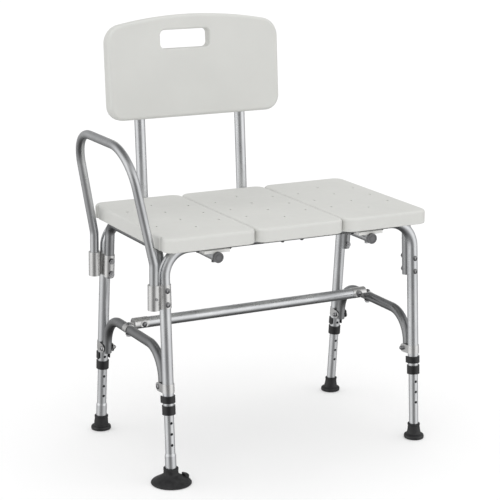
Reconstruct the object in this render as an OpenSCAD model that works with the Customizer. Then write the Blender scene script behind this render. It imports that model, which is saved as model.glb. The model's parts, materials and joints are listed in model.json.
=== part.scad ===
// Bath transfer bench: a three-panel seat and a tool-free backrest on an aluminium
// tube frame with a lift-off armrest and four height-adjustable legs.
// Millimetres, +Z up, +X to the sitter's left end away from the armrest, -Y to the front.
// The origin is the centre of the whole bench's box, on the floor.

/* [Seat] */
// Width of one seat panel
panel_w = 225; // [200:1:240]
// Gap between neighbouring seat panels
panel_gap = 1; // [0.5:0.5:3]
// Depth of the seat, front to back
seat_depth = 406; // [396:1:416]
// Height of the seat's top above the floor
seat_top_z = 562; // [558:1:566]
// Thickness of the seat panels
seat_t = 32; // [30:1:36]
// Plan radius of every panel corner
panel_corner_r = 25; // [15:1:35]
// Rounding of the seat's top edges
seat_edge_r = 7; // [4:1:10]
// Diameter of the drain holes
drain_d = 6; // [4:0.5:7]

/* [Backrest] */
// Width of the backrest panel
back_w = 452; // [420:2:470]
// Height of the backrest panel at its middle
back_h = 242; // [230:1:260]
// Thickness of the backrest panel
back_t = 28; // [26:1:32]
// Height of the panel's lower edge above the floor
back_bottom_z = 746; // [720:1:760]
// Radius of the arched top edge
back_arch_r = 1000; // [800:10:1500]
// Backward lean of the backrest in degrees
back_lean = 5; // [3:0.5:6]
// Distance between the two posts
post_spacing = 268; // [250:2:280]
// Middle of the two posts, from the middle of the seat
post_mid_x = -66; // [-68:1:-60]
// Middle of the panel, from the middle of the seat
back_mid_x = -60; // [-66:1:-54]
// Width of the handle opening
handle_w = 130; // [110:2:140]
// Height of the handle opening
handle_h = 44; // [36:1:50]
// Middle of the handle opening, from the middle of the panel
handle_x = -25; // [-30:1:0]

/* [Frame tubes] */
// Diameter of the leg frames, posts and stretcher
tube_d = 25.4; // [25.4:0.1:25.4]
// Diameter of the side rails, arches, cross tubes and leg extensions
slim_d = 22.2; // [22.2:0.1:22.2]
// Diameter of the armrest tube
arm_d = 20; // [19:0.5:20]
// Wall thickness of the tubes
wall = 1.5; // [1.5:0.1:1.5]
// Distance of the leg axes from the middle
leg_x = 324; // [320:1:326]
// Distance of the feet from the middle, front and back
foot_y = 196; // [190:1:200]
// Splay of the legs in degrees
splay = 4.5; // [4:0.5:5]
// Height of the seat rails' axis above the floor
rail_z = 528; // [526:1:529]
// Bend radius of the leg frames
leg_bend_r = 62; // [55:1:70]
// Bend radius of the side rails
side_bend_r = 32; // [30:1:50]
// Height of the arches' top above the floor
arch_z = 297; // [290:1:300]
// Bend radius of the arches
arch_bend_r = 72; // [60:2:80]
// Height of the stretcher's axis above the floor
stretcher_z = 308; // [306:1:310]
// Distance of the stretcher behind the middle
stretcher_y = 30; // [0:5:40]

/* [Armrest] */
// Height of the armrest's grip above the floor
arm_top_z = 752; // [720:1:780]
// Distance of the grip from the middle
arm_top_x = 402.5; // [395:0.5:405]
// Bend radius at the grip's corners
arm_bend_r = 90; // [70:5:100]
// Height where the uprights bend outwards
arm_kink_z = 500; // [490:1:510]
// Length of the armrest sockets
socket_len = 57; // [50:1:60]
// Height of the sockets' lower end
socket_z = 397; // [395:1:400]

/* [Legs] */
// Distance between the height-setting holes
hole_pitch = 25.4; // [25.4:0.1:25.4]
// Height of the pin along the leg
pin_h = 191; // [190:1:192]
// Number of height-setting holes
hole_count = 6; // [5:1:6]
// Height of the leg tubes' lower end, along the leg
leg_end_h = 163; // [162:1:165]
// Diameter of the rubber tips' base
tip_d = 48; // [44:1:52]
// Height of the rubber tips
tip_h = 36; // [34:1:38]
// Diameter of the suction foot
suction_d = 92; // [84:1:96]

/* [Hidden] */

$fn = 64;

// sides and ends of the bench
LEFT = -1;
RIGHT = 1;
FRONT = -1;
REAR = 1;

// seat
panel_pitch = panel_w + panel_gap;
seat_half_w = 1.5 * panel_w + panel_gap;
seat_bottom_z = seat_top_z - seat_t;
side_clear = 0.3;

// tubes
tube_r = tube_d / 2;
slim_r = slim_d / 2;
arm_r = arm_d / 2;
slide_gap = 0.1;
seam_gap = 0.05;
seam_rise = 0.02;

// leg frames, measured along the tilted leg
rail_h = rail_z / cos(splay);
rail_y = foot_y - rail_z * tan(splay);
function leg_y(z) = foot_y - z * tan(splay);

// bolts that join a side rail to a leg
corner_z = [408, 439];
bolt_r = 3;
bolt_gap = 0.1;
side_offset = tube_r + slim_r + 0.1;

// tubes under the seat that take the backrest
cross_x = post_spacing / 2 - post_mid_x;
receiver_x = post_spacing / 2 + post_mid_x;
cross_z = 502;
cross_front_y = -175;
cross_rear_y = 150;
receiver_front_y = -60;
post_front_y = 70;
hanger_y = 40;
hanger_len = 30;
back_button_y = 100;
back_button_r = 3.5;

hanger_screw_x = 15;

// drain holes and the upright notches on the armrest's side
drain_pitch = 78;
notch_r = 8;
notch_out = 3.5;

// seat screws through the rails
seat_screw_x = [-240, -160, -25, 25, 160, 240];
seat_screw_r = 2.1;

// posts and backrest
post_bend_r = 45;
post_seat_y = 218.5;
post_top_z = 955;
post_base_y = post_seat_y - (seat_top_z - cross_z) * tan(back_lean);
post_x = [post_mid_x - post_spacing / 2, post_mid_x + post_spacing / 2];
back_corner_low_r = 36;
back_corner_top_r = 45;
back_screw_h = [50, 150];
handle_corner_r = 12;
handle_low = 163;
back_edge_r = 8;
back_screw_r = 2.5;
post_on_panel = (post_top_z - back_bottom_z) / cos(back_lean);
plug_t = 3;

// braces
clamp_h = 219;
clamp_len = 20;
strap_t = 1.5;
arch_end_h = 205;
stretcher_half = 310;
bracket_x = 290;
grip_r = tube_r + 1.2;
boss_y = grip_r + 0.6;
saddle_r = slim_r + 1.6;

// armrest and its sockets
socket_x = leg_x + 26.6;
socket_y = leg_y(socket_z + socket_len / 2);
socket_r = 13.75;
arm_end_z = socket_z + 4;
arm_top_half = 145;
arm_kink_r = 40;
arm_button_z = 424;
arm_button_r = 3.2;
socket_band_t = 1.6;

// legs
extension_top_h = pin_h + hole_pitch + 16;
extension_low_h = 12;
swage_h = 64;
collar_low_h = 159;
collar_len = 20.5;
collar_r = 15;
clip_low_h = 186;
clip_len = 15.6;
clip_r = 15.4;

// the origin sits in the middle of the bench's box
box_left = -(arm_top_x + arm_r);
box_right = leg_x + tip_d / 2;
box_front = -(foot_y + suction_d / 2);
box_rear = post_base_y + (post_top_z - cross_z) * tan(back_lean) + tube_r * cos(back_lean)
    + plug_t * sin(back_lean);
shift = [-(box_left + box_right) / 2, -(box_front + box_rear) / 2, 0];

// ---- colours ----
module aluminium() color([0.78, 0.79, 0.81]) translate(shift) children();
module seat_plastic() color([0.85, 0.85, 0.83]) translate(shift) children();
module white_plastic() color([0.93, 0.93, 0.92]) translate(shift) children();
module black_rubber() color([0.1, 0.1, 0.11]) translate(shift) children();
module dark_plastic() color([0.28, 0.28, 0.29]) translate(shift) children();
module steel() color([0.62, 0.62, 0.64]) translate(shift) children();
module nickel() color([0.74, 0.73, 0.7]) translate(shift) children();

// ---- bent tubes ----
function unit(v) = v / norm(v);
function turn(a, b) = acos(max(-1, min(1, a * b)));
// rotation angles that carry the X, Y and Z axes onto x, y and z
function axes_angles(x, y, z) = [atan2(y[2], z[2]), asin(-x[2]), atan2(x[1], x[0])];

// one straight piece of tube from a to b; bore 0 makes it solid
module straight(a, b, r, bore) {
    d = b - a;
    translate(a)
        rotate([0, acos(d[2] / norm(d)), atan2(d[1], d[0])])
            linear_extrude(height = norm(d))
                ring_2d(r, bore);
}

module ring_2d(r, bore) {
    difference() {
        circle(r);
        if (bore > 0) circle(bore);
    }
}

// hair-wide sleeve over the seam between a straight and a bend
module seam_ring(r) {
    translate([0, 0, -6 * seam_gap]) cylinder(r = r + seam_rise, h = 12 * seam_gap);
}

// a rod drawn from the origin along +Z, with a bend towards its own +X after each straight;
// before each bend the rod is rolled about itself, and both ends run past by over
module rod_run(lengths, angles, rolls, radii, r, over, i = 0) {
    from = i == 0 ? -over : seam_gap;
    to = lengths[i] + (i == len(angles) ? over : -seam_gap);
    translate([0, 0, from]) cylinder(r = r, h = to - from);
    if (i < len(angles))
        translate([0, 0, lengths[i]])
            rotate([0, 0, rolls[i]]) {
                seam_ring(r);
                translate([radii[i], 0, 0]) {
                    rotate([90, 0, 180])
                        rotate_extrude(angle = angles[i])
                            translate([radii[i], 0]) circle(r);
                    rotate([0, angles[i], 0])
                        translate([-radii[i], 0, 0]) {
                            seam_ring(r);
                            rod_run(lengths, angles, rolls, radii, r, over, i + 1);
                        }
                }
            }
}

// a tube through the points, rounded at each inner point by the radius given for it;
// its first bend may not turn straight up or down
module bent_tube(points, radii, r, bore) {
    n = len(points);
    dirs = [for (i = [0 : n - 2]) unit(points[i + 1] - points[i])];
    angles = [for (i = [0 : n - 3]) turn(dirs[i], dirs[i + 1])];
    inward = [for (i = [0 : n - 3]) unit(dirs[i + 1] - dirs[i] * (dirs[i] * dirs[i + 1]))];
    carried = [for (i = [0 : n - 3]) inward[i] * cos(angles[i]) - dirs[i] * sin(angles[i])];
    rolls = [for (i = [0 : n - 3]) i == 0 ? 0
        : atan2(cross(carried[i - 1], inward[i]) * dirs[i], carried[i - 1] * inward[i])];
    cuts = [for (i = [0 : n - 1]) (i == 0 || i == n - 1) ? 0 : radii[i - 1] * tan(angles[i - 1] / 2)];
    lengths = [for (i = [0 : n - 2]) norm(points[i + 1] - points[i]) - cuts[i] - cuts[i + 1]];
    translate(points[0])
        rotate(axes_angles(inward[0], cross(dirs[0], inward[0]), dirs[0]))
            difference() {
                rod_run(lengths, angles, rolls, radii, r, 0);
                rod_run(lengths, angles, rolls, radii, bore, 1);
            }
}

// ---- leg coordinates: Z along the leg from the floor, +Y towards the middle of the bench ----
module at_leg(side, end) {
    rotate([0, 0, end == REAR ? 180 : 0])
        translate([end == REAR ? -side * leg_x : side * leg_x, -foot_y, 0])
            rotate([-splay, 0, 0])
                children();
}

module at_all_legs() {
    for (side = [LEFT, RIGHT])
        for (end = [FRONT, REAR])
            at_leg(side, end) children();
}

module along_y(r, from, to) {
    translate([0, from, 0]) rotate([-90, 0, 0]) cylinder(r = r, h = to - from);
}

module along_x(r, from, to) {
    translate([from, 0, 0]) rotate([0, 90, 0]) cylinder(r = r, h = to - from);
}

// ---- seat panels ----
module rounded_plate(w, d, r, inset) {
    for (x = [-1, 1])
        for (y = [-1, 1])
            translate([x * (w / 2 - r), y * (d / 2 - r), 0])
                cylinder(r = r - inset, h = 0.01, $fn = 32);
}

// slab with rounded top edges, standing on z = 0
module panel_blank(w, d, t) {
    steps = 3;
    hull() {
        translate([0, 0, 0]) rounded_plate(w, d, panel_corner_r, 2);
        translate([0, 0, 2]) rounded_plate(w, d, panel_corner_r, 0);
        for (i = [0 : steps]) {
            a = 90 * i / steps;
            translate([0, 0, t - seat_edge_r * (1 - sin(a)) - 0.01])
                rounded_plate(w, d, panel_corner_r, seat_edge_r * (1 - cos(a)));
        }
    }
}

module drain_holes() {
    for (col = [-1 : 1])
        for (row = col == 0 ? [-1.5 : 1 : 1.5] : [-1 : 1])
            translate([col * drain_pitch, row * drain_pitch, -1])
                cylinder(d = drain_d, h = seat_t + 2, $fn = 24);
}

// everything that the panels are hollowed for underneath
module seat_channels() {
    for (y = [-rail_y, rail_y])
        translate([0, y, rail_z]) along_x(tube_r + side_clear, -304, 304);
    for (side = [LEFT, RIGHT])
        translate([side * leg_x, 0, rail_z]) along_y(slim_r + side_clear, -160, 160);
    for (x = seat_screw_x)
        for (y = [-rail_y, rail_y])
            translate([x, y, rail_z]) cylinder(r = seat_screw_r, h = 24, $fn = 24);
    for (x = [-cross_x, -receiver_x, receiver_x, cross_x])
        translate([x - 14, seat_depth / 2 - 5.5, seat_bottom_z - 1]) cube([28, 8, 12]);
    at_hanger_screws()
        translate([0, 0, seat_bottom_z - 1]) cylinder(r = seat_screw_r, h = 15, $fn = 24);
}

module seat_panel(i) {
    seat_plastic()
        difference() {
            translate([i * panel_pitch, 0, seat_bottom_z]) {
                difference() {
                    panel_blank(panel_w, seat_depth, seat_t);
                    drain_holes();
                }
            }
            seat_channels();
            if (i == -1)
                for (y = [-1, 1])
                    translate([-seat_half_w - notch_out, y * (seat_depth / 2 - 33), seat_bottom_z - 1])
                        cylinder(r = notch_r, h = seat_t + 2);
        }
}

module seat_panel_left() seat_panel(-1);
module seat_panel_middle() seat_panel(0);
module seat_panel_right() seat_panel(1);

module seat_screws() {
    steel()
        for (x = seat_screw_x)
            for (y = [-rail_y, rail_y])
                translate([x, y, 0]) {
                    translate([0, 0, rail_z - tube_r - 2.4])
                        cylinder(r1 = 3, r2 = 4.5, h = 2.4, $fn = 32);
                    translate([0, 0, rail_z - tube_r - 1])
                        cylinder(r = seat_screw_r - 0.05, h = 37, $fn = 24);
                }
}

// ---- leg frames and side rails ----
module leg_frame(end) {
    bore = tube_r - wall;
    rotate([0, 0, end == REAR ? 180 : 0])
        translate([0, -foot_y, 0])
            rotate([-splay, 0, 0])
                difference() {
                    bent_tube([[-leg_x, 0, leg_end_h], [-leg_x, 0, rail_h],
                        [leg_x, 0, rail_h], [leg_x, 0, leg_end_h]],
                        [leg_bend_r, leg_bend_r], tube_r, bore);
                    for (x = [-leg_x, leg_x]) {
                        for (z = corner_z)
                            translate([x, 0, z / cos(splay)])
                                along_y(bolt_r + bolt_gap, -20, 20, $fn = 32);
                        translate([x, 0, pin_h]) along_y(3.3, -20, 20, $fn = 32);
                    }
                }
}

// vertical holes of the seat screws and saddle bolts
module rail_holes() {
    for (x = seat_screw_x)
        for (y = [-rail_y, rail_y])
            translate([x, y, rail_z - 20])
                cylinder(r = seat_screw_r + 0.1, h = 40, $fn = 24);
    for (x = [-cross_x, cross_x])
        translate([x, -rail_y, cross_z - 20])
            cylinder(r = bolt_r + bolt_gap, h = 40, $fn = 32);
}

module front_leg_frame() aluminium() difference() {
    leg_frame(FRONT);
    rail_holes();
}

module rear_leg_frame() aluminium() difference() {
    leg_frame(REAR);
    rail_holes();
}

// a slim tube from one leg over to the other, its ends running down the legs' inner sides
function leg_inner(z) = [0, -(leg_y(z) - side_offset / cos(splay)), z];
module leg_to_leg(side, top_z, end_z, bend_r) {
    a = leg_inner(end_z);
    b = leg_inner(top_z);
    translate([side * leg_x, 0, 0])
        bent_tube([a, b, [0, -b[1], b[2]], [0, -a[1], a[2]]], [bend_r, bend_r],
            slim_r, slim_r - wall);
}

module side_rail(side) {
    aluminium()
        difference() {
            leg_to_leg(side, rail_z, corner_z[0] - 14, side_bend_r);
            for (end = [FRONT, REAR])
                at_leg(side, end)
                    for (z = corner_z)
                        translate([0, 0, z / cos(splay)])
                            along_y(bolt_r + bolt_gap, 0, 45, $fn = 32);
        }
}

module side_rail_left() side_rail(LEFT);
module side_rail_right() side_rail(RIGHT);

// where the bolts' heads and nuts bear: on the left they sit on the armrest sockets
function bolt_seat(side) = side == LEFT ? tube_r + socket_band_t + 0.1 : tube_r;
function nut_seat(side) = side_offset + slim_r + (side == LEFT ? socket_band_t + 0.1 : 0);

module corner_bolts() {
    steel()
        for (side = [LEFT, RIGHT])
            for (end = [FRONT, REAR])
                at_leg(side, end)
                    for (z = corner_z)
                        translate([0, 0, z / cos(splay)]) {
                            along_y(bolt_r, -bolt_seat(side) - 1, nut_seat(side) + 6.5, $fn = 32);
                            translate([0, -bolt_seat(side), 0]) dome_head();
                        }
}

// low dome with a hexagon socket, pointing to -Y, its flat side at y = 0
module dome_head() {
    difference() {
        intersection() {
            translate([0, 5, 0]) sphere(r = 8.6, $fn = 48);
            along_y(6.2, -4, 0, $fn = 32);
        }
        along_y(2.9, -6, -1.4, $fn = 6);
    }
}

// nut on the +Y side of y = 0, with its bore
module nut() {
    rotate([-90, 0, 0])
        difference() {
            union() {
                cylinder(r = 7.6, h = 1.2, $fn = 32);
                cylinder(r = 6.2, h = 5.5, $fn = 6);
            }
            translate([0, 0, -1]) cylinder(r = bolt_r, h = 8, $fn = 32);
        }
}

// closed domed nut on the +Y side of y = 0
module acorn_nut() {
    difference() {
        union() {
            rotate([-90, 0, 0]) cylinder(r = 5.6, h = 4.5, $fn = 6);
            translate([0, 4, 0]) sphere(r = 4.6, $fn = 32);
        }
        along_y(bolt_r, -6, 5, $fn = 32);
        translate([-8, -8, -8]) cube([16, 8, 16]);
    }
}

module corner_nuts() {
    steel()
        for (side = [LEFT, RIGHT])
            for (end = [FRONT, REAR])
                at_leg(side, end)
                    for (z = corner_z) translate([0, nut_seat(side), z / cos(splay)]) nut();
}

// ---- tubes under the seat that hold the backrest ----
module cross_tube(x, front) {
    aluminium()
        difference() {
            straight([x, front, cross_z], [x, cross_rear_y, cross_z], slim_r, slim_r - wall);
            translate([x, back_button_y, cross_z - 20])
                cylinder(r = back_button_r + 0.1, h = 20, $fn = 32);
            if (front == cross_front_y)
                translate([x, -rail_y, cross_z - 20])
                    cylinder(r = bolt_r + bolt_gap, h = 40, $fn = 32);
        }
}

module cross_tube_left() cross_tube(-cross_x, cross_front_y);
module cross_tube_right() cross_tube(cross_x, cross_front_y);
module receiver_tube_left() cross_tube(-receiver_x, receiver_front_y);
module receiver_tube_right() cross_tube(receiver_x, receiver_front_y);

module end_cap(x, y) {
    translate([x, y, cross_z])
        difference() {
            union() {
                along_y(slim_r + 1.1, -4, 3);
                along_y(slim_r - wall - 0.1, -1, 12);
            }
            difference() {
                along_y(slim_r, 0, 4);
                along_y(slim_r - wall - 0.1, -1, 5);
            }
            difference() {
                along_y(slim_r - 1.6, -5, -2.8);
                along_y(slim_r - 5, -6, -2);
            }
            along_y(slim_r - wall - 2, 0, 13);
        }
}

module tube_end_caps() {
    dark_plastic() {
        for (x = [-cross_x, cross_x]) end_cap(x, cross_front_y);
        for (x = [-receiver_x, receiver_x]) end_cap(x, receiver_front_y);
    }
}

// plates between the front rail and the two long cross tubes
module tube_saddles() {
    white_plastic()
        for (x = [-cross_x, cross_x])
            translate([x, -rail_y, 0])
                difference() {
                    translate([-32, -17, cross_z + slim_r - 2]) cube([64, 34, 7]);
                    translate([0, 0, rail_z]) along_x(tube_r, -40, 40);
                    translate([0, 0, cross_z]) along_y(slim_r, -40, 40);
                    cylinder(r = bolt_r + bolt_gap, h = 600, $fn = 32);
                }
}

module saddle_bolts() {
    steel()
        for (x = [-cross_x, cross_x])
            translate([x, -rail_y, 0]) {
                translate([0, 0, cross_z - slim_r]) cylinder(r = bolt_r, h = 30, $fn = 32);
                translate([0, 0, cross_z - slim_r - 4]) cylinder(r = 5.6, h = 4, $fn = 6);
            }
}

module at_hangers() {
    for (x = [-cross_x, -receiver_x, receiver_x, cross_x]) translate([x, hanger_y, 0]) children();
    for (x = [-receiver_x, receiver_x]) translate([x, -hanger_y, 0]) children();
}

module at_hanger_screws() {
    at_hangers()
        for (dx = [-hanger_screw_x, hanger_screw_x]) translate([dx, 0, 0]) children();
}

module tube_hangers() {
    dark_plastic()
        at_hangers()
            difference() {
                translate([-20, -hanger_len / 2, cross_z - slim_r - 3])
                    cube([40, hanger_len, seat_bottom_z - cross_z + slim_r + 3]);
                translate([0, 0, cross_z]) along_y(slim_r, -40, 40);
                for (dx = [-hanger_screw_x, hanger_screw_x])
                    translate([dx, 0, 400]) cylinder(r = seat_screw_r, h = 200, $fn = 24);
            }
}

module hanger_screws() {
    low = cross_z - slim_r - 3;
    steel()
        at_hanger_screws() {
            translate([0, 0, low - 2.4]) cylinder(r = 4, h = 2.4, $fn = 32);
            translate([0, 0, low - 1]) cylinder(r = seat_screw_r, h = seat_bottom_z - low + 14, $fn = 24);
        }
}

// ---- lower braces ----
module brace_arch(side) {
    aluminium()
        difference() {
            leg_to_leg(side, arch_z, arch_end_h, arch_bend_r);
            for (end = [FRONT, REAR])
                at_leg(side, end)
                    translate([0, side_offset, clamp_h])
                        along_x(bolt_r + bolt_gap, -20, 20, $fn = 32);
            translate([side * leg_x, stretcher_y, arch_z - 20])
                cylinder(r = bolt_r + bolt_gap, h = 40, $fn = 32);
        }
}

module brace_arch_left() brace_arch(LEFT);
module brace_arch_right() brace_arch(RIGHT);

// strap round the leg with a flange on either side of the arch's end
module leg_clamp() {
    outer_r = tube_r + strap_t;
    translate([0, 0, clamp_h])
        difference() {
            union() {
                translate([0, 0, -clamp_len / 2]) cylinder(r = outer_r, h = clamp_len);
                translate([-outer_r, 0, -clamp_len / 2]) cube([2 * outer_r, side_offset, clamp_len]);
                translate([0, side_offset, 0]) along_x(clamp_len / 2, -outer_r, outer_r);
            }
            translate([0, 0, -20]) cylinder(r = tube_r, h = 40);
            translate([-tube_r, 0, -20]) cube([2 * tube_r, side_offset + 20, 40]);
            translate([0, side_offset, 0]) along_x(bolt_r + bolt_gap, -30, 30, $fn = 32);
        }
}

module leg_clamps() {
    nickel() at_all_legs() leg_clamp();
}

// turns +Y onto the leg's outer side
module outwards(side, end) {
    rotate([0, 0, side * end == 1 ? 90 : -90]) children();
}

module clamp_bolts() {
    reach = tube_r + strap_t;
    steel()
        for (side = [LEFT, RIGHT])
            for (end = [FRONT, REAR])
                at_leg(side, end)
                    translate([0, side_offset, clamp_h])
                        outwards(side, end) {
                            along_y(bolt_r, -reach - 5, reach + 1, $fn = 32);
                            translate([0, reach, 0]) rotate([0, 0, 180]) dome_head();
                        }
}

module clamp_nuts() {
    steel()
        for (side = [LEFT, RIGHT])
            for (end = [FRONT, REAR])
                at_leg(side, end)
                    translate([0, side_offset, clamp_h])
                        outwards(side, end)
                            translate([0, -tube_r - strap_t, 0]) rotate([0, 0, 180]) acorn_nut();
}

module stretcher() {
    aluminium()
        difference() {
            straight([-stretcher_half, stretcher_y, stretcher_z],
                [stretcher_half, stretcher_y, stretcher_z], tube_r, tube_r - wall);
            for (x = [-bracket_x, bracket_x])
                translate([x, stretcher_y, stretcher_z]) along_y(bolt_r + bolt_gap, -20, 20, $fn = 32);
        }
}

// cast saddle that carries one end of the stretcher on an arch
module stretcher_bracket(side) {
    nickel()
        scale([side, 1, 1])
            difference() {
                union() {
                    translate([0, stretcher_y, stretcher_z]) along_x(grip_r, 277, stretcher_half + 3);
                    translate([bracket_x, stretcher_y, stretcher_z]) along_y(9.5, -boss_y, boss_y);
                    translate([leg_x, stretcher_y, arch_z]) along_y(saddle_r, -9.5, 9.5);
                    translate([298, stretcher_y - 9, arch_z]) cube([18, 18, saddle_r]);
                }
                translate([0, stretcher_y, stretcher_z]) along_x(tube_r, 270, stretcher_half);
                translate([leg_x, stretcher_y, arch_z]) along_y(slim_r, -30, 30);
                translate([270, stretcher_y - 30, arch_z - 40]) cube([90, 60, 38]);
                translate([270, stretcher_y - 30, stretcher_z - 40]) cube([38, 60, 34]);
                translate([bracket_x, stretcher_y, stretcher_z])
                    along_y(bolt_r + bolt_gap, -20, 20, $fn = 32);
                translate([leg_x, stretcher_y, arch_z]) cylinder(r = bolt_r + bolt_gap, h = 40, $fn = 32);
            }
}

module stretcher_bracket_left() stretcher_bracket(LEFT);
module stretcher_bracket_right() stretcher_bracket(RIGHT);

module stretcher_bolts() {
    steel()
        for (side = [LEFT, RIGHT]) {
            translate([side * bracket_x, stretcher_y, stretcher_z]) {
                along_y(bolt_r, -boss_y - 1, boss_y + 6.5, $fn = 32);
                translate([0, -boss_y, 0]) dome_head();
                translate([0, boss_y, 0]) nut();
            }
            translate([side * leg_x, stretcher_y, arch_z]) {
                translate([0, 0, -slim_r - 6.5]) cylinder(r = bolt_r, h = slim_r + saddle_r + 7.5, $fn = 32);
                translate([0, 0, saddle_r]) rotate([-90, 0, 0]) dome_head();
                translate([0, 0, -slim_r]) rotate([-90, 0, 0]) nut();
            }
        }
}

// ---- armrest ----
module arm_socket(end) {
    nickel()
        difference() {
            union() {
                translate([-socket_x, end * socket_y, socket_z]) cylinder(r = socket_r, h = socket_len);
                at_leg(LEFT, end)
                    translate([0, 0, (socket_z + 2) / cos(splay)]) {
                        cylinder(r = tube_r + socket_band_t, h = socket_len - 4);
                        translate([0, side_offset, 0])
                            cylinder(r = slim_r + socket_band_t, h = socket_len - 4);
                        translate([-slim_r, 0, 0]) cube([2 * slim_r, side_offset, socket_len - 4]);
                    }
            }
            at_leg(LEFT, end) {
                translate([0, 0, 380]) cylinder(r = tube_r, h = 100);
                translate([0, side_offset, 380]) cylinder(r = slim_r, h = 100);
                for (z = corner_z)
                    translate([0, 0, z / cos(splay)]) along_y(bolt_r + bolt_gap, -30, 50, $fn = 32);
            }
            translate([-socket_x, end * socket_y, socket_z + 3])
                cylinder(r = arm_r + slide_gap, h = socket_len);
            translate([-socket_x, end * socket_y, arm_button_z])
                rotate([0, 0, end == REAR ? 180 : 0])
                    along_y(arm_button_r + slide_gap, -20, 0, $fn = 32);
        }
}

module arm_socket_front() arm_socket(FRONT);
module arm_socket_rear() arm_socket(REAR);

module arm_button(end) {
    steel()
        translate([-socket_x, end * socket_y, arm_button_z])
            rotate([0, 0, end == REAR ? 180 : 0])
                along_y(arm_button_r, -socket_r - 2.2, -socket_r + 1.2, $fn = 32);
}

module arm_button_front() arm_button(FRONT);
module arm_button_rear() arm_button(REAR);

module armrest_tube() {
    aluminium()
        difference() {
            bent_tube([[-socket_x, -socket_y, arm_end_z], [-socket_x, -socket_y, arm_kink_z],
                [-arm_top_x, -arm_top_half, arm_top_z], [-arm_top_x, arm_top_half, arm_top_z],
                [-socket_x, socket_y, arm_kink_z], [-socket_x, socket_y, arm_end_z]],
                [arm_kink_r, arm_bend_r, arm_bend_r, arm_kink_r], arm_r, arm_r - wall);
            translate([-socket_x, 0, arm_button_z])
                for (y = [-socket_y, socket_y])
                    translate([0, y, 0])
                        rotate([0, 0, y > 0 ? 180 : 0]) along_y(arm_button_r + 0.6, -20, 0, $fn = 32);
        }
}

// ---- backrest ----
// coordinates of the panel: Z up its slope from the lower edge, Y = 0 on the posts' axes
module at_back() {
    translate([0, post_base_y + (back_bottom_z - cross_z) * tan(back_lean), back_bottom_z])
        rotate([-back_lean, 0, 0])
            children();
}

module back_outline(inset) {
    low_x = back_w / 2 - back_corner_low_r;
    top_x = back_w / 2 - back_corner_top_r;
    arc_z = back_h - back_arch_r;
    top_z = arc_z + sqrt(pow(back_arch_r - back_corner_top_r, 2) - top_x * top_x);
    sweep = asin(top_x / (back_arch_r - back_corner_top_r));
    for (s = [-1, 1]) {
        translate([s * low_x, back_corner_low_r]) circle(back_corner_low_r - inset, $fn = 32);
        translate([s * top_x, top_z]) circle(back_corner_top_r - inset, $fn = 40);
    }
    polygon([for (i = [-8 : 8]) [(back_arch_r - inset) * sin(i / 8 * sweep),
        arc_z + (back_arch_r - inset) * cos(i / 8 * sweep)]]);
}

module back_layer(y, inset) {
    translate([0, y, 0]) rotate([90, 0, 0]) linear_extrude(height = 0.01) back_outline(inset);
}

module rounded_slot_2d(w, h, r) {
    for (s = [-1, 1])
        for (t = [-1, 1])
            translate([s * (w / 2 - r), t * (h / 2 - r)]) circle(r);
    square([w, h - 2 * r], center = true);
    square([w - 2 * r, h], center = true);
}

module backrest_panel() {
    seat_plastic()
        at_back()
            translate([back_mid_x, 0, 0])
                difference() {
                    hull() {
                        back_layer(0, 3);
                        back_layer(-3, 0);
                        back_layer(-back_t + back_edge_r, 0);
                        back_layer(-back_t + back_edge_r * 0.3, back_edge_r * 0.3);
                        back_layer(-back_t + 0.01, back_edge_r);
                    }
                    translate([handle_x, 5, handle_low + handle_h / 2])
                        rotate([90, 0, 0])
                            linear_extrude(height = back_t + 10)
                                rounded_slot_2d(handle_w, handle_h, handle_corner_r);
                    for (x = post_x) {
                        translate([x - back_mid_x, 0, -1]) cylinder(r = tube_r + 0.2, h = post_on_panel + 6);
                        for (h = back_screw_h)
                            translate([x - back_mid_x, 0, h]) along_y(back_screw_r, -21, 0, $fn = 24);
                    }
                }
}

module back_post(x) {
    top_y = post_base_y + (post_top_z - cross_z) * tan(back_lean);
    aluminium()
        difference() {
            bent_tube([[x, top_y, post_top_z], [x, post_base_y, cross_z], [x, post_front_y, cross_z]],
                [post_bend_r], tube_r, slim_r + slide_gap);
            translate([x - back_button_r - 0.3, post_front_y - 1, cross_z - 20])
                cube([2 * back_button_r + 0.6, back_button_y - post_front_y + 5, 12]);
            at_back()
                for (h = back_screw_h)
                    translate([x, 0, h]) along_y(back_screw_r + 0.1, -20, 20, $fn = 24);
        }
}

module back_post_left() back_post(post_x[0]);
module back_post_right() back_post(post_x[1]);

module post_plugs() {
    dark_plastic()
        at_back()
            for (x = post_x)
                translate([x, 0, post_on_panel]) {
                    cylinder(r = tube_r, h = plug_t);
                    translate([0, 0, -10]) cylinder(r = slim_r, h = 11);
                }
}

module back_screws() {
    steel()
        at_back()
            for (x = post_x)
                for (h = back_screw_h)
                    translate([x, 0, h]) {
                        along_y(back_screw_r, -20, tube_r + 0.5, $fn = 24);
                        translate([0, tube_r, 0]) along_y(4.5, 0, 2.4, $fn = 32);
                    }
}

module back_button(x) {
    steel()
        translate([x, back_button_y, cross_z - tube_r - 1.8])
            cylinder(r = back_button_r, h = 6, $fn = 32);
}

module back_button_left() back_button(post_x[0]);
module back_button_right() back_button(post_x[1]);

// ---- legs ----
module leg_collar(side, end) {
    black_rubber()
        at_leg(side, end)
            difference() {
                translate([0, 0, collar_low_h]) cylinder(r = collar_r, h = collar_len);
                translate([0, 0, leg_end_h]) cylinder(r = tube_r, h = 40);
                translate([0, 0, collar_low_h - 1]) cylinder(r = slim_r + 0.35, h = 20);
            }
}

module leg_collar_front_left() leg_collar(LEFT, FRONT);
module leg_collar_front_right() leg_collar(RIGHT, FRONT);
module leg_collar_rear_left() leg_collar(LEFT, REAR);
module leg_collar_rear_right() leg_collar(RIGHT, REAR);

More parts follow.
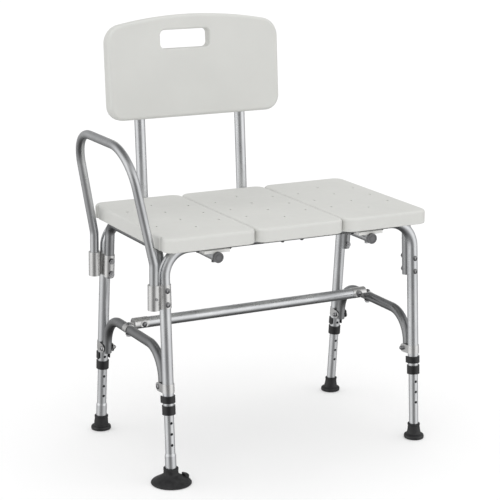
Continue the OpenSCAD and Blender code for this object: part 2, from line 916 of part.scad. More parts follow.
// U-shaped clip with its locking pin, pushed on from the leg's outer side
module leg_clip(side, end) {
    arm_y = 9;
    black_rubber()
        at_leg(side, end)
            translate([0, 0, clip_low_h]) {
                difference() {
                    union() {
                        cylinder(r = clip_r, h = clip_len);
                        translate([-clip_r, 0, 0]) cube([2 * clip_r, arm_y, clip_len]);
                    }
                    translate([0, 0, -1]) cylinder(r = tube_r + 0.3, h = clip_len + 2);
                    translate([-tube_r - 0.3, 0, -1]) cube([2 * tube_r + 0.6, 30, clip_len + 2]);
                }
                translate([0, 0, pin_h - clip_low_h]) along_y(3, -clip_r + 1, -slim_r - 0.4, $fn = 32);
            }
}

module leg_clip_front_left() leg_clip(LEFT, FRONT);
module leg_clip_front_right() leg_clip(RIGHT, FRONT);
module leg_clip_rear_left() leg_clip(LEFT, REAR);
module leg_clip_rear_right() leg_clip(RIGHT, REAR);

// the left legs end in a wider, swaged length above the foot
module leg_extension(side, end) {
    wide = side == LEFT;
    aluminium()
        at_leg(side, end)
            difference() {
                union() {
                    translate([0, 0, extension_low_h])
                        cylinder(r = slim_r, h = extension_top_h - extension_low_h);
                    if (wide) {
                        translate([0, 0, extension_low_h])
                            cylinder(r = tube_r, h = swage_h - extension_low_h);
                        translate([0, 0, swage_h]) cylinder(r1 = tube_r, r2 = slim_r, h = 5);
                    }
                }
                translate([0, 0, extension_low_h - 1])
                    cylinder(r = slim_r - wall, h = extension_top_h);
                for (k = [-(hole_count - 2) : 1])
                    translate([0, 0, pin_h + k * hole_pitch]) along_y(3.2, -20, 20, $fn = 32);
            }
}

module leg_extension_front_left() leg_extension(LEFT, FRONT);
module leg_extension_front_right() leg_extension(RIGHT, FRONT);
module leg_extension_rear_left() leg_extension(LEFT, REAR);
module leg_extension_rear_right() leg_extension(RIGHT, REAR);

// foot standing level on the floor, its neck in line with the leg
module foot(side, end, bore_r, neck_r, h) {
    difference() {
        union() {
            translate([side * leg_x, end * foot_y, 0]) children();
            at_leg(side, end) translate([0, 0, 5]) cylinder(r1 = neck_r + 3.5, r2 = neck_r, h = h - 5);
        }
        at_leg(side, end) translate([0, 0, extension_low_h]) cylinder(r = bore_r, h = 60);
        translate([side * leg_x - 60, end * foot_y - 60, -40]) cube([120, 120, 40]);
    }
}

module foot_tip(side, end) {
    bore_r = side == LEFT ? tube_r : slim_r;
    black_rubber()
        foot(side, end, bore_r, slim_r + 2.8, tip_h)
            rotate_extrude()
                difference() {
                    union() {
                        square([tip_d / 2 - 4, 10]);
                        translate([0, 2]) square([tip_d / 2, 4]);
                        translate([tip_d / 2 - 4, 2]) square([4, 4]);
                        translate([tip_d / 2 - 4, 6]) circle(4, $fn = 32);
                        polygon([[0, 0], [tip_d / 2 - 2, 0], [tip_d / 2, 2], [0, 2]]);
                    }
                    translate([-10, -10]) square([10, 40]);
                }
}

module foot_tip_front_right() foot_tip(RIGHT, FRONT);
module foot_tip_rear_left() foot_tip(LEFT, REAR);
module foot_tip_rear_right() foot_tip(RIGHT, REAR);

module suction_foot() {
    r = suction_d / 2;
    black_rubber()
        foot(LEFT, FRONT, tube_r, tube_r + 2.8, tip_h) {
            difference() {
                rotate_extrude()
                    polygon([[0, 0], [r - 3, 0], [r, 2.5], [r - 3, 7], [r - 12, 13], [r - 24, 18],
                        [tube_r + 4, 22], [0, 22]]);
                translate([0, 0, -100]) sphere(r = 104);
            }
            translate([r - 16, -9, 9]) cube([12, 18, 8]);
        }
}

seat_panel_left();
seat_panel_middle();
seat_panel_right();
seat_screws();
front_leg_frame();
rear_leg_frame();
side_rail_left();
side_rail_right();
corner_bolts();
corner_nuts();
cross_tube_left();
cross_tube_right();
receiver_tube_left();
receiver_tube_right();
tube_end_caps();
tube_saddles();
saddle_bolts();
tube_hangers();
hanger_screws();
brace_arch_left();
brace_arch_right();
leg_clamps();
clamp_bolts();
clamp_nuts();
stretcher();
stretcher_bracket_left();
stretcher_bracket_right();
stretcher_bolts();
arm_socket_front();
arm_socket_rear();
arm_button_front();
arm_button_rear();
armrest_tube();
backrest_panel();
back_post_left();
back_post_right();
post_plugs();
back_screws();
back_button_left();
back_button_right();
leg_collar_front_left();
leg_collar_front_right();
leg_collar_rear_left();
leg_collar_rear_right();
leg_clip_front_left();
leg_clip_front_right();
leg_clip_rear_left();
leg_clip_rear_right();
leg_extension_front_left();
leg_extension_front_right();
leg_extension_rear_left();
leg_extension_rear_right();
suction_foot();
foot_tip_front_right();
foot_tip_rear_left();
foot_tip_rear_right();
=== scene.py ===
"""Looks of the bath transfer bench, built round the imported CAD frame.

Sizes and places of the object are in millimetres, with x and y measured from the middle of the seat and
z from the floor. mm() turns them into the frame's metres (+Z up, -Y to the front). The materials, the
floor and the studio are in metres.
"""

import json
import math

import bmesh
import bpy
from mathutils import Matrix, Vector


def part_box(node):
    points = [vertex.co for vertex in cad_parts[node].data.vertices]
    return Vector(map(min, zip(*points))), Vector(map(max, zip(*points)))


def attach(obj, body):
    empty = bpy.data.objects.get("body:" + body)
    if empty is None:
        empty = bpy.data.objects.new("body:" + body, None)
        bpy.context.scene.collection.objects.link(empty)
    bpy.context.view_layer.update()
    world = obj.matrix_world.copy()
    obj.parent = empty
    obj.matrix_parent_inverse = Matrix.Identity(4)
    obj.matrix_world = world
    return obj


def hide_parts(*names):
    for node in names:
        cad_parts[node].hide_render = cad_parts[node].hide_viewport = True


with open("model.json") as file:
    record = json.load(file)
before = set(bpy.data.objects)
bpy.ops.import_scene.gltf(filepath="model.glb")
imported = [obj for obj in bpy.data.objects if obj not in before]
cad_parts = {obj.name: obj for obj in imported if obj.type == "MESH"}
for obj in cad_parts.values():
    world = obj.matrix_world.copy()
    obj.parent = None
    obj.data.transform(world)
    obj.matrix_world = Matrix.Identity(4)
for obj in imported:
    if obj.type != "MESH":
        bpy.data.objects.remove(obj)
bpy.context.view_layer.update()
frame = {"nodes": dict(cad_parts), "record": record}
nodes = frame["nodes"]

# ---------------------------------------------------------------- frame of reference
seat_lo, seat_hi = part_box("seat_panel_middle")
SEAT_MID = ((seat_lo.x + seat_hi.x) / 2, (seat_lo.y + seat_hi.y) / 2)


def mm(x, y, z):
    """A point given in millimetres from the middle of the seat, as a vector in metres in the frame."""
    return Vector((SEAT_MID[0] + x / 1000, SEAT_MID[1] + y / 1000, z / 1000))


# ---------------------------------------------------------------- materials
NOISE_LOW, NOISE_HIGH = 0.3, 0.7  # nearly all values of a noise lie between these


class Material:
    """A Principled material with helpers that wire procedural nodes into it."""

    def __init__(self, name, color, roughness, metallic=0.0, **sockets):
        self.mat = bpy.data.materials.new(name)
        self.mat.use_nodes = True
        self.tree = self.mat.node_tree
        self.bsdf = self.tree.nodes["Principled BSDF"]
        self.bsdf.inputs["Base Color"].default_value = (*color, 1)
        self.bsdf.inputs["Roughness"].default_value = roughness
        self.bsdf.inputs["Metallic"].default_value = metallic
        for socket, value in sockets.items():
            self.bsdf.inputs[socket.replace("_", " ")].default_value = value
        self.coords = self.tree.nodes.new("ShaderNodeTexCoord").outputs["Object"]
        self.height = None

    def link(self, a, b):
        self.tree.links.new(a, b)

    def stretched(self, scale):
        """Object coordinates scaled by axis, for grain that runs one way."""
        mapping = self.tree.nodes.new("ShaderNodeMapping")
        mapping.inputs["Scale"].default_value = scale
        self.link(self.coords, mapping.inputs["Vector"])
        return mapping.outputs["Vector"]

    def noise(self, scale, detail=3, roughness=0.5, stretch=None):
        n = self.tree.nodes.new("ShaderNodeTexNoise")
        n.inputs["Scale"].default_value = scale
        n.inputs["Detail"].default_value = detail
        n.inputs["Roughness"].default_value = roughness
        self.link(self.stretched(stretch) if stretch else self.coords, n.inputs["Vector"])
        return n.outputs["Fac"]

    def cells(self, scale):
        n = self.tree.nodes.new("ShaderNodeTexVoronoi")
        n.feature = "SMOOTH_F1"
        n.inputs["Scale"].default_value = scale
        self.link(self.coords, n.inputs["Vector"])
        return n.outputs["Distance"]

    def vary_color(self, value, a, b):
        """Base colour runs from a to b with the noise."""
        ramp = self.tree.nodes.new("ShaderNodeValToRGB")
        for element, at, color in zip(ramp.color_ramp.elements, (NOISE_LOW, NOISE_HIGH), (a, b)):
            element.position = at
            element.color = (*color, 1)
        self.link(value, ramp.inputs["Fac"])
        self.link(ramp.outputs["Color"], self.bsdf.inputs["Base Color"])

    def vary_roughness(self, value, low, high):
        """Roughness runs from low to high with the noise."""
        n = self.tree.nodes.new("ShaderNodeMapRange")
        for socket, v in (("From Min", NOISE_LOW), ("From Max", NOISE_HIGH),
                          ("To Min", low), ("To Max", high)):
            n.inputs[socket].default_value = v
        self.link(value, n.inputs["Value"])
        self.link(n.outputs["Result"], self.bsdf.inputs["Roughness"])

    def bump(self, value, strength, distance):
        """Adds relief, in metres, on top of any that is there already."""
        n = self.tree.nodes.new("ShaderNodeBump")
        n.inputs["Strength"].default_value = strength
        n.inputs["Distance"].default_value = distance
        self.link(value, n.inputs["Height"])
        if self.height is not None:
            self.link(self.height, n.inputs["Normal"])
        self.height = n.outputs["Normal"]
        self.link(self.height, self.bsdf.inputs["Normal"])


def aluminium(name, along, tone=1.0):
    """Satin anodised tube whose drawing lines run along the given axis. A lower tone darkens the base
    colour; on the side rails and arches under the seat that darkening is painted shade.
    """
    m = Material(name, (0.68, 0.69, 0.7), 0.32, metallic=1.0)
    fine = tuple(0.04 if axis == along else 1.0 for axis in "XYZ")
    lines = m.noise(1500, detail=2, stretch=fine)
    cloud = m.noise(14, detail=4)
    m.vary_color(cloud, tuple(c * tone for c in (0.64, 0.65, 0.665)),
                 tuple(c * tone for c in (0.73, 0.74, 0.75)))
    m.vary_roughness(m.noise(60, detail=3), 0.25, 0.35)
    m.bump(lines, 0.05, 0.0002)
    m.bump(m.noise(240, detail=2), 0.02, 0.0004)
    return m.mat


def moulded(name, color, roughness, grain=950, depth=0.00012, shade=0.96):
    """Moulded plastic with a fine pebbled skin and slightly uneven gloss."""
    m = Material(name, color, roughness)
    m.vary_color(m.noise(9, detail=5), tuple(c * shade for c in color), color)
    m.vary_roughness(m.noise(45, detail=4), roughness - 0.06, roughness + 0.06)
    m.bump(m.cells(grain), 0.5, depth)
    m.bump(m.noise(30, detail=2), 0.12, 0.0012)
    return m.mat


def rubber(name):
    """Matt rubber with worn, paler patches."""
    m = Material(name, (0.012, 0.012, 0.013), 0.55)
    m.vary_color(m.noise(90, detail=6), (0.009, 0.009, 0.01), (0.024, 0.024, 0.025))
    m.vary_roughness(m.noise(30, detail=5), 0.42, 0.66)
    m.bump(m.noise(1400, detail=3), 0.35, 0.00015)
    return m.mat


def metal(name, a, b, rough, grain, depth, relief=0.4):
    """Cast or turned metal with a grain of the given scale."""
    m = Material(name, a, rough, metallic=1.0)
    m.vary_color(m.noise(30, detail=4), a, b)
    m.vary_roughness(m.noise(80, detail=3), rough - 0.04, rough + 0.05)
    m.bump(m.noise(grain, detail=3), relief, depth)
    return m.mat


ALU = {axis: aluminium("aluminium_along_" + axis.lower(), axis) for axis in "XYZ"}
# the side rails and arches get darker copies of the same aluminium: painted shade from the seat above them
ALU_SIDE_SHADED = aluminium("aluminium_shaded_along_y", "Y", 0.56)
ALU_ARM = aluminium("aluminium_armrest", "Z", 0.86)
ALU_ARCH_SHADED = aluminium("aluminium_arches_shaded", "Y", 0.44)
SEAT = moulded("seat_plastic", (0.622, 0.624, 0.6), 0.52)
WHITE = moulded("white_plastic", (0.78, 0.78, 0.76), 0.45, grain=1200, depth=0.00006)
DARK = moulded("dark_plastic", (0.15, 0.15, 0.155), 0.45, grain=1100, depth=0.00008, shade=0.8)
BLACK = moulded("black_plastic", (0.012, 0.012, 0.013), 0.34, grain=1500, depth=0.00004, shade=0.75)
RUBBER = rubber("black_rubber")
STEEL = metal("fastener_steel", (0.25, 0.25, 0.255), (0.4, 0.4, 0.41), 0.16, 500, 0.00003, relief=0.06)
NICKEL = metal("satin_nickel", (0.69, 0.688, 0.682), (0.77, 0.768, 0.762), 0.27, 420, 0.00005, relief=0.05)

NODE_MATERIALS = {
    "front_leg_frame": ALU["Z"], "rear_leg_frame": ALU["Z"],
    "side_rail_left": ALU_SIDE_SHADED, "side_rail_right": ALU_SIDE_SHADED,
    "brace_arch_left": ALU_ARCH_SHADED, "brace_arch_right": ALU_ARCH_SHADED,
    "stretcher": ALU["X"], "armrest_tube": ALU_ARM,
    "back_post_left": ALU["Z"], "back_post_right": ALU["Z"],
    "cross_tube_left": ALU["Y"], "cross_tube_right": ALU["Y"],
    "receiver_tube_left": ALU["Y"], "receiver_tube_right": ALU["Y"],
}
SLOT_MATERIALS = {
    "satin_aluminium": ALU["Z"], "seat_plastic": SEAT, "white_plastic": WHITE,
    "dark_plastic": DARK, "black_plastic": BLACK, "black_rubber": RUBBER,
    "fastener_steel": STEEL, "satin_nickel": NICKEL,
}


def dress(obj, material, smooth_degrees=32):
    """Gives a piece its material, and smooth shading that stops at its sharp edges."""
    obj.data.materials.clear()
    obj.data.materials.append(material)
    for polygon in obj.data.polygons:
        polygon.material_index = 0
        polygon.use_smooth = True
    obj.data.set_sharp_from_angle(angle=math.radians(smooth_degrees))
    even = obj.modifiers.new("even_normals", "WEIGHTED_NORMAL")
    even.keep_sharp = True


slots = {row["node"]: row["material_slot"] for row in frame["record"]["subparts"]}
for node_name, node in nodes.items():
    dress(node, NODE_MATERIALS.get(node_name, SLOT_MATERIALS[slots[node_name]]))


# ---------------------------------------------------------------- mesh helpers
def add_piece(name, bm, body, slot_name, stands_for, smooth_degrees=32, cutter=None):
    """A visible piece made of bm, less the closed solids in cutter, riding on the body."""
    mesh = bpy.data.meshes.new(name)
    bmesh.ops.recalc_face_normals(bm, faces=bm.faces)
    bm.to_mesh(mesh)
    bm.free()
    obj = bpy.data.objects.new(name, mesh)
    bpy.context.scene.collection.objects.link(obj)
    if cutter is not None:
        carve(obj, cutter)
    dress(obj, SLOT_MATERIALS[slot_name], smooth_degrees)
    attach(obj, body)
    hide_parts(*stands_for)


def bridge(bm, loops):
    """Faces between successive rings of points; returns the rings as lists of vertices."""
    rings = [[bm.verts.new(p) for p in loop] for loop in loops]
    for a, b in zip(rings, rings[1:]):
        for i in range(len(a)):
            j = (i + 1) % len(a)
            bm.faces.new((a[i], a[j], b[j], b[i]))
    return rings


def close_stack(bm, loops):
    """A closed solid through successive rings of points, with a flat face at either end."""
    rings = bridge(bm, loops)
    bm.faces.new(rings[0])
    bm.faces.new(rings[-1])


def arc(cx, cy, r, start, end, steps):
    """Points of an arc given in degrees."""
    return [(cx + r * math.cos(math.radians(start + (end - start) * k / steps)),
             cy + r * math.sin(math.radians(start + (end - start) * k / steps)))
            for k in range(steps + 1)]


def rounded_box(half_w, half_d, r, steps=8):
    """Outline of a rounded rectangle, counter-clockwise."""
    points = []
    for sx, sy, start in ((1, 1, 0), (-1, 1, 90), (-1, -1, 180), (1, -1, 270)):
        points += arc(sx * (half_w - r), sy * (half_d - r), r, start, start + 90, steps)
    return points


def fillet(radius, steps):
    """(inset, depth) pairs of a quarter round, from the flat face to the side."""
    return [(radius * (1 - math.sin(math.radians(90 * k / steps))),
             radius * (1 - math.cos(math.radians(90 * k / steps)))) for k in range(steps + 1)]


FLAT_ENOUGH = math.radians(0.2)  # faces that meet at less than this are joined after a cut


def carve(obj, cutter_bm):
    """Subtracts the closed solids in cutter_bm from the object's mesh, for good."""
    mesh = bpy.data.meshes.new("cutter")
    bmesh.ops.recalc_face_normals(cutter_bm, faces=cutter_bm.faces)
    cutter_bm.to_mesh(mesh)
    cutter_bm.free()
    cutter = bpy.data.objects.new("cutter", mesh)
    bpy.context.scene.collection.objects.link(cutter)
    modifier = obj.modifiers.new("carve", "BOOLEAN")
    modifier.object = cutter
    modifier.solver = "EXACT"
    modifier.use_self = True
    graph = bpy.context.evaluated_depsgraph_get()
    result = bpy.data.meshes.new_from_object(obj.evaluated_get(graph))
    obj.modifiers.remove(modifier)
    joined = bmesh.new()
    joined.from_mesh(result)
    bmesh.ops.dissolve_limit(joined, angle_limit=FLAT_ENOUGH, verts=joined.verts, edges=joined.edges)
    joined.to_mesh(result)
    joined.free()
    obj.data = result
    bpy.data.objects.remove(cutter)


def rod_cutter(bm, start, end, radius, steps=48):
    """A closed cylinder between two points, its radius in millimetres."""
    axis = end - start
    turn = axis.to_track_quat("Z", "Y").to_matrix().to_4x4()
    bmesh.ops.create_cone(bm, cap_ends=True, segments=steps, radius1=radius / 1000, radius2=radius / 1000,
                          depth=axis.length, matrix=Matrix.Translation((start + end) / 2) @ turn)


# ---------------------------------------------------------------- seat panels
SEAT_BOTTOM, SEAT_TOP = seat_lo.z * 1000, seat_hi.z * 1000
PANEL_W = (seat_hi.x - seat_lo.x) * 1000
PANEL_D = (seat_hi.y - seat_lo.y) * 1000
PANEL_GAP, PANEL_CORNER, PANEL_EDGE, PANEL_FOOT = 1, 25, 7, 2
SEAT_HALF_W = 338.5
LEG_X = 324.0
TUBE_CHANNEL_R, SIDE_CHANNEL_R = 13.1, 11.5
RAIL_Y, RAIL_Z, RAIL_REACH, SIDE_REACH = 154.4, 528.0, 304, 160
DRAIN_R, DRAIN_PITCH = 3, 78
NOTCH_R, NOTCH_OUT, NOTCH_Y = 8, 3.5, 170
POST_SLOTS_X, POST_SLOT_Y, POST_SLOT_Z = (-200, -68, 68, 200), 201.5, 535
POST_SLOT_SIZE = (28, 8, 12)
CUT_PAST = 5  # how far an upright cutter runs past the top and bottom of the seat


def upright_cutter(bm, x, y, radius, steps=48):
    """A rod cutter that goes right through the seat."""
    rod_cutter(bm, mm(x, y, SEAT_BOTTOM - CUT_PAST), mm(x, y, SEAT_TOP + CUT_PAST), radius, steps)


def seat_cuts(index, mid_x):
    """What a panel leaves open: channels for the tubes, drain holes, upright notches and post slots."""
    cut = bmesh.new()
    for y in (-RAIL_Y, RAIL_Y):
        rod_cutter(cut, mm(-RAIL_REACH, y, RAIL_Z), mm(RAIL_REACH, y, RAIL_Z), TUBE_CHANNEL_R)
    for column in (-1, 0, 1):
        for row in ((-1.5, -0.5, 0.5, 1.5) if column == 0 else (-1, 0, 1)):
            upright_cutter(cut, mid_x + column * DRAIN_PITCH, row * DRAIN_PITCH, DRAIN_R, 32)
    if index != 0:
        x = LEG_X * index
        rod_cutter(cut, mm(x, -SIDE_REACH, RAIL_Z), mm(x, SIDE_REACH, RAIL_Z), SIDE_CHANNEL_R)
    if index == -1:
        for y in (-NOTCH_Y, NOTCH_Y):
            upright_cutter(cut, -SEAT_HALF_W - NOTCH_OUT, y, NOTCH_R)
    for x in POST_SLOTS_X:
        if abs(x - mid_x) < PANEL_W / 2:
            place = Matrix.Translation(mm(x, POST_SLOT_Y, POST_SLOT_Z))
            size = Matrix.Diagonal((*(length / 1000 for length in POST_SLOT_SIZE), 1))
            bmesh.ops.create_cube(cut, size=1, matrix=place @ size)
    return cut


def seat_panel(name, index, stands_for):
    """One of three panels, with rounded edges; the index is -1, 0 or 1 from left to right."""
    mid_x = index * (PANEL_W + PANEL_GAP)
    levels = ([(inset, SEAT_BOTTOM + depth) for inset, depth in fillet(PANEL_FOOT, 3)]
              + [(inset, SEAT_TOP - depth) for inset, depth in reversed(fillet(PANEL_EDGE, 9))])
    bm = bmesh.new()
    close_stack(bm, [[mm(mid_x + x, y, z) for x, y in
                      rounded_box(PANEL_W / 2 - inset, PANEL_D / 2 - inset, PANEL_CORNER - inset)]
                     for inset, z in levels])
    add_piece(name, bm, "frame", "seat_plastic", [stands_for], cutter=seat_cuts(index, mid_x))


for panel_index, panel_side in ((-1, "left"), (0, "middle"), (1, "right")):
    seat_panel("skin_" + panel_side, panel_index, "seat_panel_" + panel_side)

# ---------------------------------------------------------------- backrest
LEAN = math.radians(5)
POST_SEAT_Y, POST_SEAT_Z, CROSS_Z = 218.5, 562, 502
POST_BASE_Y = POST_SEAT_Y - (POST_SEAT_Z - CROSS_Z) * math.tan(LEAN)
BACK_BOTTOM, BACK_W, BACK_H, BACK_T, BACK_MID_X = 746, 452, 242, 28, -60
BACK_ARCH, BACK_LOW_R, BACK_TOP_R = 1000, 36, 45
BACK_FRONT_EDGE, BACK_REAR_EDGE = 8, 3
POSTS_X, POST_CUT_LOW, POST_CUT_TOP = (-200, 68), -20, 217
HANDLE_X, HANDLE_LOW, HANDLE_W, HANDLE_H, HANDLE_R, HANDLE_EDGE = -25, 163, 130, 44, 12, 4.5


def on_back(x, y, z):
    """A point given up the slope of the backrest from its lower edge, y = 0 on the posts' axes."""
    base_y = POST_BASE_Y + (BACK_BOTTOM - CROSS_Z) * math.tan(LEAN)
    return mm(x, base_y + y * math.cos(LEAN) + z * math.sin(LEAN),
              BACK_BOTTOM - y * math.sin(LEAN) + z * math.cos(LEAN))


def back_outline(inset):
    """Points round the backrest: two lower corners, two upper corners and the shallow arch between."""
    low_x, top_x = BACK_W / 2 - BACK_LOW_R, BACK_W / 2 - BACK_TOP_R
    arc_z = BACK_H - BACK_ARCH
    reach = BACK_ARCH - BACK_TOP_R
    top_z = arc_z + math.sqrt(reach ** 2 - top_x ** 2)
    sweep = math.degrees(math.asin(top_x / reach))
    return (arc(low_x, BACK_LOW_R, BACK_LOW_R - inset, 270, 360, 12)
            + arc(top_x, top_z, BACK_TOP_R - inset, 0, 90 - sweep, 12)
            + arc(0, arc_z, BACK_ARCH - inset, 90 - sweep, 90 + sweep, 24)[1:-1]
            + arc(-top_x, top_z, BACK_TOP_R - inset, 90 + sweep, 180, 12)
            + arc(-low_x, BACK_LOW_R, BACK_LOW_R - inset, 180, 270, 12))


def through_back(edge, steps):
    """(inset, y) pairs from the front face, its edge rounded by the given radius, to the rear face."""
    return ([(inset, depth - BACK_T) for inset, depth in fillet(edge, steps)]
            + [(inset, -depth) for inset, depth in reversed(fillet(BACK_REAR_EDGE, 4))])


def backrest():
    """The arched panel with its handle opening, and channels for the posts in its rear."""
    bm = bmesh.new()
    outer = bridge(bm, [[on_back(BACK_MID_X + x, y, z) for x, z in back_outline(inset)]
                        for inset, y in through_back(BACK_FRONT_EDGE, 9)])
    mid_z = HANDLE_LOW + HANDLE_H / 2
    inner = bridge(bm, [[on_back(BACK_MID_X + HANDLE_X + x, y, mid_z + z) for x, z in
                         rounded_box(HANDLE_W / 2 + out, HANDLE_H / 2 + out, HANDLE_R + out, 10)]
                        for out, y in through_back(HANDLE_EDGE, 6)])
    for a, b in ((outer[0], inner[0]), (outer[-1], inner[-1])):
        edges = [bm.edges.get((ring[i], ring[(i + 1) % len(ring)])) for ring in (a, b)
                 for i in range(len(ring))]
        bmesh.ops.triangle_fill(bm, use_beauty=True, use_dissolve=False, edges=edges)
    cut = bmesh.new()
    for x in POSTS_X:
        rod_cutter(cut, on_back(x, 0, POST_CUT_LOW), on_back(x, 0, POST_CUT_TOP), TUBE_CHANNEL_R)
    add_piece("skin_backrest", bm, "backrest", "seat_plastic", ["backrest_panel"], cutter=cut)


backrest()


# ---------------------------------------------------------------- feet
TUBE_R, SLIM_R = 12.7, 11.1
FOOT_Y = 196
LEG_SLOPE = math.tan(math.radians(4.5))
FOOT_SMOOTH = 40


def turned(bm, profile, side, end, steps):
    """A closed form turned from (radius, height) points, which leans with its leg from the floor up."""
    angles = [2 * math.pi * k / steps for k in range(steps)]
    close_stack(bm, [[mm(side * LEG_X + r * math.cos(a),
                         end * (FOOT_Y - LEG_SLOPE * max(0.0, z)) + r * math.sin(a), z)
                      for a in angles] for r, z in profile])


def tip_profile(bore):
    """Half outline of a bell-shaped tip on a tube of the given radius."""
    neck = bore + 2.7
    return [(20, 0.0), (22.6, 0.5), (23.7, 1.6), (24, 3), (24, 5.5), (23.6, 7.6), (22.4, 9.1),
            (20.6, 9.9), (18.6, 10.3), (17.4, 11.2), (16.8, 13), (neck + 1.6, 19),
            (neck + 0.7, 26), (neck + 0.2, 31), (neck + 0.9, 31.6), (neck + 1.1, 32.6),
            (neck + 1.1, 34.6), (neck + 0.8, 35.6), (neck, 36), (bore + 0.35, 36), (bore + 0.15, 35.7),
            (bore + 0.15, 13)]


def rubber_tip(corner, side, end):
    bm = bmesh.new()
    turned(bm, tip_profile(TUBE_R if side < 0 else SLIM_R), side, end, 64)
    add_piece("rubber_tip_" + corner, bm, "leg_" + corner, "black_rubber", ["foot_tip_" + corner],
              FOOT_SMOOTH)


for tip_corner, tip_side, tip_end in (("front_right", 1, -1), ("rear_left", -1, 1), ("rear_right", 1, 1)):
    rubber_tip(tip_corner, tip_side, tip_end)

SUCTION_CUP = [(2, 3.9), (10, 3.6), (20, 2.0), (26, 0.7)]
SUCTION_PROFILE = [(28.6, 0.05), (30, 0.0), (43.4, 0.0), (45.2, 0.6), (46, 1.7), (45.8, 2.9), (44.4, 4.6),
                   (42, 6.4), (38, 8.6), (33, 11.2), (28, 14.2), (24, 16.6), (20.6, 18.6), (18.2, 20.6),
                   (17.2, 22.2), (16.9, 24), (16.7, 31), (17.0, 31.7), (17.1, 33), (17.0, 35),
                   (16.6, 35.7), (15.8, 36), (13.1, 36), (12.85, 35.7), (12.85, 13)]
TAB_OUT, TAB_HALF_W, TAB_HALF_D, TAB_CORNER, TAB_SLOPE = 35, 7, 8, 4, 0.25
TAB_Z, TAB_ROOT, TAB_TOP, TAB_EDGE = 10, -6, 7.2, 2.2


def release_tab(bm):
    """A rounded lug on the skirt's right side, its top sloping away from the leg."""
    levels = [(0, TAB_ROOT)] + [(inset, TAB_TOP - depth) for inset, depth in reversed(fillet(TAB_EDGE, 5))]
    close_stack(bm, [[mm(-LEG_X + TAB_OUT + x * (TAB_HALF_W - inset) / TAB_HALF_W,
                         -FOOT_Y + y * (TAB_HALF_D - inset) / TAB_HALF_D, TAB_Z + z - x * TAB_SLOPE)
                      for x, y in rounded_box(TAB_HALF_W, TAB_HALF_D, TAB_CORNER, 6)]
                     for inset, z in levels])


def suction_foot():
    bm = bmesh.new()
    turned(bm, SUCTION_CUP + SUCTION_PROFILE, -1, -1, 80)
    release_tab(bm)
    add_piece("suction_skin", bm, "leg_front_left", "black_rubber", ["suction_foot"], FOOT_SMOOTH)


suction_foot()

# ---------------------------------------------------------------- floor, light and camera
FLOOR_HALF, FLOOR_DROP = 40, 0.0005


def pale_floor():
    """A wide matt floor that gives off a little light, and isn't seen in reflections."""
    m = Material("floor", (0.66, 0.66, 0.66), 0.9, Emission_Color=(1, 1, 1, 1), Emission_Strength=0.3)
    m.vary_color(m.noise(2.0, detail=3), (0.655, 0.655, 0.655), (0.665, 0.665, 0.665))
    bm = bmesh.new()
    bmesh.ops.create_grid(bm, x_segments=1, y_segments=1, size=FLOOR_HALF)
    mesh = bpy.data.meshes.new("floor")
    bm.to_mesh(mesh)
    bm.free()
    mesh.materials.append(m.mat)
    floor = bpy.data.objects.new("floor", mesh)
    floor.location.z = -FLOOR_DROP
    floor.visible_glossy = False
    bpy.context.scene.collection.objects.link(floor)


pale_floor()

# brightness of the studio by the height of a direction, and by how far it points to the front opening
SKY_HEIGHT = ((-0.9, 0.1), (-0.62, 0.4), (-0.29, 1.0), (0.08, 1.3),
              (0.42, 1.2), (0.7, 0.8), (0.88, 0.35), (1.0, 0.22))
SKY_FRONT = ((-1.0, 0.36), (-0.6, 0.42), (-0.1, 0.85), (0.35, 1.0),
             (0.62, 0.95), (0.82, 0.58), (0.93, 0.26), (1.0, 0.2))
OPENING = (-0.477, -0.879, 0)

scene = bpy.context.scene
scene.view_settings.view_transform = "Standard"
world = bpy.data.worlds.new("studio")
scene.world = world
world.use_nodes = True
sky = world.node_tree


def sky_ramp(value, stops):
    """A grey ramp over a value from -1 to 1, given as (value, grey) stops."""
    spread = sky.nodes.new("ShaderNodeMapRange")
    spread.inputs["From Min"].default_value = -1
    sky.links.new(value, spread.inputs["Value"])
    ramp = sky.nodes.new("ShaderNodeValToRGB")
    ramp.color_ramp.interpolation = "EASE"
    elements = ramp.color_ramp.elements
    while len(elements) < len(stops):
        elements.new(0.5)
    for element, (at, grey) in zip(elements, stops):
        element.position = (at + 1) / 2
    for element, (at, grey) in zip(elements, stops):
        element.color = (grey, grey, grey, 1)
    sky.links.new(spread.outputs["Result"], ramp.inputs["Fac"])
    return ramp.outputs["Color"]


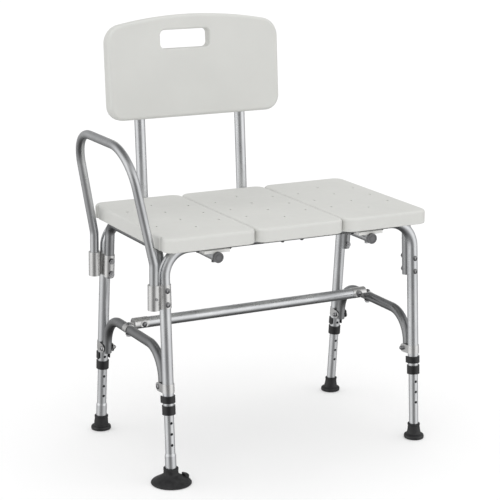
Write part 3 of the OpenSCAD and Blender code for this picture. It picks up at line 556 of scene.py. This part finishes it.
# a studio tent: bright round the horizon, dimmer overhead, underneath and in front, where it opens
ray = sky.nodes.new("ShaderNodeTexCoord").outputs["Generated"]
height = sky.nodes.new("ShaderNodeSeparateXYZ")
sky.links.new(ray, height.inputs["Vector"])
facing = sky.nodes.new("ShaderNodeVectorMath")
facing.operation = "DOT_PRODUCT"
facing.inputs[1].default_value = OPENING
sky.links.new(ray, facing.inputs[0])
tent = sky.nodes.new("ShaderNodeMath")
tent.operation = "MULTIPLY"
sky.links.new(sky_ramp(height.outputs["Z"], SKY_HEIGHT), tent.inputs[0])
sky.links.new(sky_ramp(facing.outputs["Value"], SKY_FRONT), tent.inputs[1])
sky.links.new(tent.outputs["Value"], sky.nodes["Background"].inputs["Strength"])
sky.nodes["Background"].inputs["Color"].default_value = (1, 1, 1, 1)
# seen directly, beyond the floor's far edge, the studio is plain white
plain = sky.nodes.new("ShaderNodeBackground")
plain.inputs["Color"].default_value = (1, 1, 1, 1)
seen = sky.nodes.new("ShaderNodeMixShader")
sky.links.new(sky.nodes.new("ShaderNodeLightPath").outputs["Is Camera Ray"], seen.inputs[0])
sky.links.new(sky.nodes["Background"].outputs["Background"], seen.inputs[1])
sky.links.new(plain.outputs["Background"], seen.inputs[2])
sky.links.new(seen.outputs["Shader"], sky.nodes["World Output"].inputs["Surface"])


def soft_sun(name, toward, strength, spread):
    """Wide, even light from the given direction, seen by rough surfaces only."""
    light = bpy.data.lights.new(name, "SUN")
    light.energy = strength
    light.angle = math.radians(spread)
    obj = bpy.data.objects.new(name, light)
    obj.rotation_euler = Vector(toward).to_track_quat("Z", "Y").to_euler()
    obj.visible_glossy = False
    scene.collection.objects.link(obj)


soft_sun("overhead", (0.1, 0.1, 1), 1.7, 80)
soft_sun("key", (-0.5, -0.8, 0.4), 0.76, 70)

# camera: the azimuth, elevation and roll of its view, its lens and its place
AZIMUTH, ELEVATION, ROLL = (math.radians(a) for a in (28.495, 14.364, 0.694))
SENSOR_WIDTH, LENS = 36, 125.051
CAMERA_PLACE = mm(-1908.7, -3470.5, 1470.2)
camera_data = bpy.data.cameras.new("camera")
camera_data.sensor_width = SENSOR_WIDTH
camera_data.lens = LENS
camera_data.clip_end = 100
camera = bpy.data.objects.new("camera", camera_data)
scene.collection.objects.link(camera)
ahead = Vector((math.sin(AZIMUTH) * math.cos(ELEVATION), math.cos(AZIMUTH) * math.cos(ELEVATION),
                -math.sin(ELEVATION)))
level = ahead.cross(Vector((0, 0, 1))).normalized()
above = level.cross(ahead)
right = level * math.cos(ROLL) + above * math.sin(ROLL)
upward = above * math.cos(ROLL) - level * math.sin(ROLL)
turn = Matrix((right, upward, -ahead)).transposed()
camera.matrix_world = Matrix.Translation(CAMERA_PLACE) @ turn.to_4x4()
scene.camera = camera
